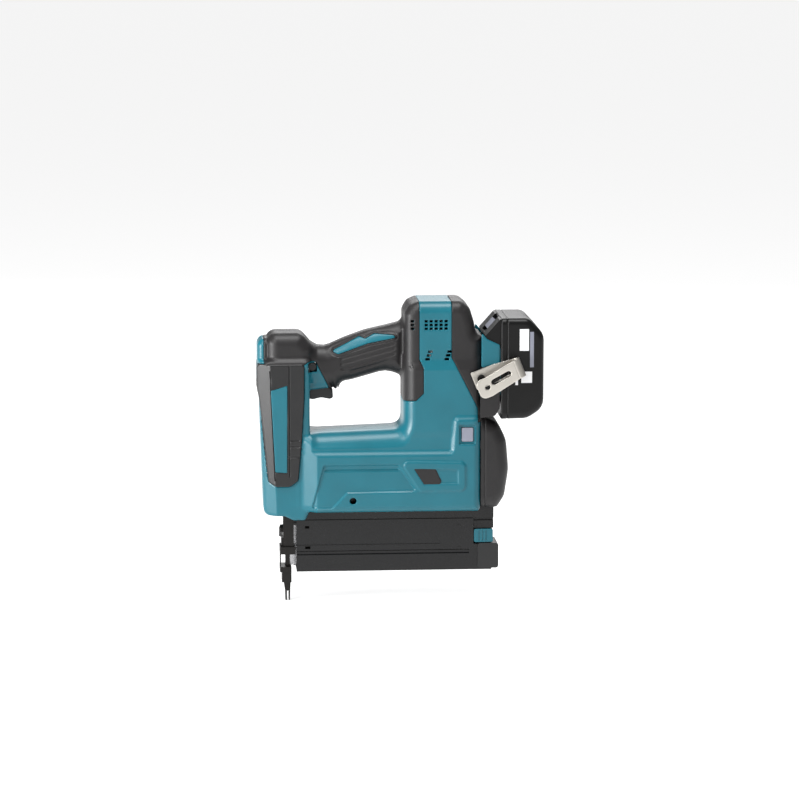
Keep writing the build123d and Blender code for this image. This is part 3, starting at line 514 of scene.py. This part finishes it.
FINISHES = {            # colour, roughness, and the rest of what material() takes
    "teal": ((0.005, 0.112, 0.150), 0.34, dict(grain=0.25, size=1400, coat=0.12, spec=0.35)),
    "rubber": ((0.011, 0.010, 0.0105), 0.44, dict(grain=0.5, size=1700, cloud=0.12, spec=0.4)),
    "dark_plastic": ((0.010, 0.010, 0.0105), 0.34, dict(grain=0.3, size=1500, cloud=0.12, spec=0.4)),
    "button_grey": ((0.20, 0.21, 0.26), 0.4, dict(grain=0.3)),
    "silver": ((0.66, 0.67, 0.68), 0.42, dict(metal=1.0, grain=0.5, size=700)),
    "steel": ((0.5, 0.51, 0.52), 0.3, dict(metal=1.0, grain=0.3, size=500, brushed=True)),
    "black_steel": ((0.012, 0.011, 0.010), 0.36, dict(metal=0.4, grain=0.4, size=1200, spec=0.3)),
    "hook_steel": ((0.58, 0.55, 0.50), 0.36, dict(metal=1.0, grain=0.4, size=500, brushed=True)),
    "magazine_paint": ((0.010, 0.010, 0.0105), 0.30, dict(metal=0.3, grain=0.4, size=1200, spec=0.4)),
    "copper": ((0.72, 0.36, 0.17), 0.3, dict(metal=1.0, grain=0.3)),
    "gear_steel": ((0.38, 0.38, 0.39), 0.28, dict(metal=1.0, grain=0.3)),
    "seal": ((0.014, 0.014, 0.015), 0.6, dict(grain=0.3)),
    "lens": ((0.85, 0.87, 0.84), 0.12, dict(grain=0.05, coat=0.6)),
    "board": ((0.01, 0.12, 0.04), 0.35, dict(grain=0.2)),
    "cell": ((0.03, 0.2, 0.09), 0.35, dict(grain=0.1)),
    "battery_dark": ((0.003, 0.003, 0.003), 0.32, dict(grain=0.35, size=1500, cloud=0.15, spec=0.25)),
}
MATERIALS = {name: material(name, colour, rough, **rest) for name, (colour, rough, rest) in FINISHES.items()}
DARKER = {"screws": "black_steel", "brad_strip": "gear_steel"}      # blackened screws, plain wire brads


def refinish_cad():
    """Every CAD node that stays gets the finish of its slot, or a darker one."""
    for name, node in NODES.items():
        slots = node.data.materials
        for k in range(len(slots)):
            base = DARKER.get(name, slots[k].name.split(".")[0] if slots[k] else "")
            if base in MATERIALS:
                slots[k] = MATERIALS[base]


refinish_cad()


# ------------------------------------------------------------------- the pieces
RIM, SEAM = 0.12, 0.06          # gap round an overmould, and half the gap between the two halves


def skin(solid, region):
    """The outer layer of a solid inside a region, its rim rounded."""
    return np.maximum(rmax(solid, region + RIM, 0.7), -(solid + SKIN - 0.05))


def pocket(solid, region):
    """Where a skin is let into the shell below it."""
    return np.maximum(region - RIM, -(solid + SKIN))


def grip_region(g):
    """The grip's overmould covers the head, the handle and the motor's front, but not the inlay."""
    return np.maximum(g.poly(GRIP, GRIP_BACK), -g.poly(INLAY, INLAY_BACK))


def column_panel(g):
    """The surface a side panel of the column follows, and the panel, which wraps round the front."""
    surface = rmax(g.poly(WRAP, PANEL_BACK), np.abs(g.y) - column_half(g, PANEL_HALF), 1.4)
    edge = PANEL_EDGE + PANEL_NARROW * ramp(PANEL_TURN - g.z, 0, 10)
    panel = rmax(rmax(surface, g.poly(PANEL, PANEL_BACK), 1.4), edge - np.abs(g.y), 1.0)
    return surface, np.maximum(panel, -(surface + PANEL_THICK))


def housing(g, solid, grip, rear, air):
    """One half's shell, hollow, with pockets for what is let into it."""
    surface, panel = column_panel(g)
    over_panel = np.maximum(g.poly(PANEL, PANEL_BACK) - 0.1, -surface - 0.3)
    shell = without(solid, pocket(solid, grip), 0.6)
    shell = without(shell, pocket(solid, rear), 0.6)
    shell = without(shell, panel - 0.1, 0.3)
    shell = without(shell, np.maximum(over_panel, 15 - np.abs(g.y)), 0.3)
    shell = np.maximum(shell, -(solid + THICK))
    return without(rmax(shell, SEAM - g.y, 0.25), air, 0.3)


def shells():
    """Both housing halves and their overmoulds. Only the right half is worked out: the left mirrors it."""
    g = Grid((-31, -1.6, 72), (184, 38.5, 284), STEP * 1.12)
    solid, air = envelope(g), vents(g)
    grip, rear = grip_region(g), g.poly(REAR, MOTOR_BACK)
    shell = housing(g, solid, grip, rear, air)
    for side, word in SIDES.items():
        mesh_data = contour(without(shell, openings(g, side), 0.4), g)
        add_piece(f"housing_{word}_shell", mesh_data, "teal", "tool", (f"housing_{word}",), mirror=side < 0)
    for name, region, node in (("grip", grip, "grip_overmoulds"), ("rear_bumper", rear, "motor_bumpers")):
        layer = rmax(skin(solid, region), SEAM - g.y, 0.2)
        for side, word in SIDES.items():
            holes = np.minimum(openings(g, side), air)
            mesh_data = contour(without(layer, holes, 0.4), g)
            add_piece(f"{name}_{word}", mesh_data, "rubber", "tool", (node,), mirror=side < 0)


def panels():
    """The column's side panels, with their grooves and marks, and the plates let into them."""
    g = Grid((-31, 7, 100), (22, 31, 230), STEP * 0.75)
    surface, panel = column_panel(g)
    badge = g.poly(BADGE, BADGE_BACK)
    groove = np.maximum(np.abs(g.x - corner_line(g.z)) - 0.6, between(g.z, 114, 217))
    line = np.maximum(np.abs(g.x - 1.6) - 0.45, between(g.z, 118, 222))
    bars = np.minimum(np.abs(g.z - 152) - 0.7, np.abs(g.z - 146) - 0.7)
    bars = np.maximum(bars, np.abs(g.x - 6.5) - 4.4)
    step = np.maximum(np.abs(g.z - 136.5) - 0.8, np.abs(g.x - 6.5) - 7)
    for mark, depth in ((groove, 1.0), (line, 0.7), (bars, 0.8), (step, 0.6), (badge - 0.15, 1.0)):
        panel = without(panel, np.maximum(mark, -(surface + depth)), 0.3)
    place("column_panel", panel, g, "dark_plastic", "tool", ("column_panels",), SIDES)
    plate = np.maximum(rmax(surface + 0.1, badge + 0.1, 0.5), -(surface + 0.95))
    place("badge_plate", plate, g, "teal", "tool", ("badge_inserts",), SIDES)


def pads():
    """Rest pads let into the body's sides."""
    g = Grid((107, 30, 103), (147, 38.5, 131), STEP * 0.7)
    inner, outer = 34.2, 36.8
    pad = rmax(g.poly(PAD, SIDE_BACK) + 0.1, np.abs(g.y) - outer, 0.8)
    place("rest_pad", np.maximum(pad, inner - g.y), g, "rubber", "tool", ("side_rest_pads",), SIDES)


def cover():
    """The bulged cap over the crank, with a seam down its middle and a groove round its front."""
    g = Grid((177, -36, 83), (209, 36, 177), STEP)
    front, groove_at = 178.7, 183.0
    whole = g.slab(COVER, COVER_HALF, 12)
    cap = rmax(whole, front - g.x, 1.2)
    seam = np.maximum(np.abs(g.y) - 0.5, -(cap + 0.8))
    groove = np.maximum(np.abs(g.x - groove_at) - 0.5, -(cap + 0.7))
    cap = without(without(cap, seam, 0.3), groove, 0.3)
    place("crank_cap", np.maximum(cap, -(whole + CAP_THICK)), g, "rubber", "tool", ("crank_cover",))


def seat():
    """Cheeks of the battery seat and the heel below them."""
    g = Grid((176, 28, 168), (199, 37, 256), STEP * 0.75)
    inner, outer = 33.65, 35.3
    sheet = rmax(g.y - outer, inner - g.y, 0.4)
    for name, outline, slot in (("seat_cheek", SEAT, "teal"), ("seat_heel", HEEL, "rubber")):
        place(name, rmax(g.poly(outline) + 0.1, sheet, 0.9), g, slot, "tool", sides=SIDES)


def battery():
    """The pack's case, with the joint of its two mouldings."""
    g = Grid((195, -38, 168), (240, 38, 268), STEP)
    front, front_inside, joint_at = 197.3, 199.6, 203.2
    whole = g.slab(CASE, CASE_HALF, 6)
    case = rmax(whole, front - g.x, 1.6)
    joint = np.maximum(np.abs(g.x - joint_at) - 0.45, -(case + 0.7))
    hollow = np.maximum(whole + CASE_THICK, front_inside - g.x)
    case = np.maximum(without(case, joint, 0.25), -hollow)
    place("battery_shell", case, g, "battery_dark", "battery", ("battery_case",))


def trigger():
    """The finger lever, concave where the finger goes, on its pivot pin."""
    g = Grid((15, -9.5, 184), (46, 9.5, 216), STEP * 0.6)
    lever = rmax(g.poly(LEVER), np.abs(g.y) - LEVER_HALF, 2.2)
    lever = without(lever, g.rod_y(*PIVOT, -10, 10, 1.7), 0.2)
    place("trigger_lever", lever, g, "dark_plastic", "trigger", ("trigger",))


def hook():
    """The belt hook: one folded strip, its free leaf with a hole and a long slot.

    Here x runs along the strip from its screw, before the strip is turned to lean back.
    """
    g = Grid((-18, -53, -20), (46, -37, 12), STEP * 0.7)
    strip = rmax(g.poly(NEAR_LEAF), np.abs(g.y - NEAR_Y) - STRIP_THICK / 2, 0.4)
    strip = np.minimum(strip, rmax(g.poly(FREE_LEAF), np.abs(g.y - FREE_Y) - STRIP_THICK / 2, 0.4))
    fold = (NEAR_Y + FREE_Y) / 2
    ring = np.abs(np.hypot(g.x - FOLD_X, g.y - fold) - (NEAR_Y - FREE_Y) / 2) - STRIP_THICK / 2
    strip = np.minimum(strip, rmax(np.maximum(ring, FOLD_X - g.x), np.abs(g.z + 3) - 9, 0.4))
    free, near = (-53, -46), (-46, -37)
    for x, z, length, r, leaf in ((2.2, -7.9, 0, 2.5, free), (0, 0, 0, 2.1, near),
                                  (9.5, -5.6, 15, 2.7, free), (8, -4.6, 18, 4.0, near)):
        along = np.clip(g.x - x, 0, max(length, 1e-3))
        slot = np.hypot(g.x - x - along, g.z - z - 0.12 * along) - r
        strip = without(strip, np.maximum(slot, between(g.y, *leaf)), 0.3)
    vertices, quads = contour(strip, g)
    x, z = vertices[:, 0].copy(), vertices[:, 2].copy()
    vertices[:, 0] = HOOK_SCREW[0] + x * math.cos(HOOK_LEAN) - z * math.sin(HOOK_LEAN)
    vertices[:, 2] = HOOK_SCREW[1] + x * math.sin(HOOK_LEAN) + z * math.cos(HOOK_LEAN)
    add_piece("belt_hook_strip", (vertices, quads), "hook_steel", "tool", ("belt_hook",))


def label():
    """A plain printed label on the battery's left side: a white field and bars, with no lettering."""
    white = material("print", (0.75, 0.75, 0.76), 0.4, cloud=0.02)
    for name, low, high, finish in (
        ("label_field", (214.4, 235.0), (223.0, 255.2), white),
        ("label_bar", (224.0, 219.5), (227.6, 252.6), None),
        ("label_strip", (210.5, 203.0), (213.0, 214.5), white),
        ("label_block", (216.0, 205.0), (226.0, 215.5), white),
    ):
        g = Grid((low[0] - 1, -37.2, low[1] - 1), (high[0] + 1, -35.2, high[1] + 1), 0.3)
        plate = g.box((low[0], -CASE_HALF - 0.2, low[1]), (high[0], -CASE_HALF + 0.4, high[1]))
        add_piece(name, contour(plate, g), "button_grey", "battery", finish=finish)


shells()
panels()
hook()
label()
pads()
cover()
seat()
battery()
trigger()


# ------------------------------------------------------- floor, light and camera
MIDDLE = Vector((0.1, 0, 0.17))


def area_light(name, at, size, power):
    data = bpy.data.lights.new(name, "AREA")
    data.shape = "RECTANGLE"
    data.size, data.size_y = size
    data.energy = power
    lamp = bpy.data.objects.new(name, data)
    lamp.location = at
    lamp.rotation_euler = (MIDDLE - Vector(at)).to_track_quat("-Z", "Y").to_euler()
    bpy.context.scene.collection.objects.link(lamp)


def floor(half=300, z=-0.0006):
    """A wide pale floor that lights itself a little, so that it goes out to white."""
    mesh = bpy.data.meshes.new("floor")
    corners = [(-half, -half, z), (half, -half, z), (half, half, z), (-half, half, z)]
    mesh.from_pydata(corners, [], [(0, 1, 2, 3)])
    plane = bpy.data.objects.new("floor", mesh)
    bpy.context.scene.collection.objects.link(plane)
    pale = material("floor", (0.55, 0.55, 0.55), 0.9, cloud=0.004)
    shader = next(n for n in pale.node_tree.nodes if n.type == "BSDF_PRINCIPLED")
    shader.inputs["Emission Color"].default_value = (1, 1, 1, 1)
    shader.inputs["Emission Strength"].default_value = 0.72
    mesh.materials.append(pale)


def studio():
    """Soft light from above, both sides and behind, in a pale room."""
    area_light("key", (-1.0, -1.3, 1.5), (0.9, 0.7), 20)
    area_light("top", (0.15, -0.35, 1.9), (1.4, 0.8), 34)
    area_light("left", (-1.8, -0.75, 0.3), (0.6, 0.6), 40)
    area_light("back", (0.4, 1.9, 1.1), (1.4, 0.8), 12)
    world = bpy.data.worlds.new("studio")
    world.use_nodes = True
    room = world.node_tree.nodes["Background"]
    room.inputs["Color"].default_value = (1, 1, 1, 1)
    room.inputs["Strength"].default_value = 0.32
    bpy.context.scene.world = world
    bpy.context.scene.view_settings.view_transform = "Standard"


def camera():
    """A long lens, a little above the tool and turned a little from square on."""
    azimuth, elevation, distance = math.radians(-4), math.radians(9), 3.113
    target = Vector((0.1055, 0, 0.189))
    lens = bpy.data.cameras.new("camera")
    lens.lens, lens.sensor_width = 150, 36
    lens.clip_end = 200
    eye = bpy.data.objects.new("camera", lens)
    forward = Vector((-math.sin(azimuth) * math.cos(elevation), math.cos(azimuth) * math.cos(elevation),
                      -math.sin(elevation)))
    eye.location = target - forward * distance
    eye.rotation_euler = forward.to_track_quat("-Z", "Y").to_euler()
    bpy.context.scene.collection.objects.link(eye)
    bpy.context.scene.camera = eye


floor()
studio()
camera()
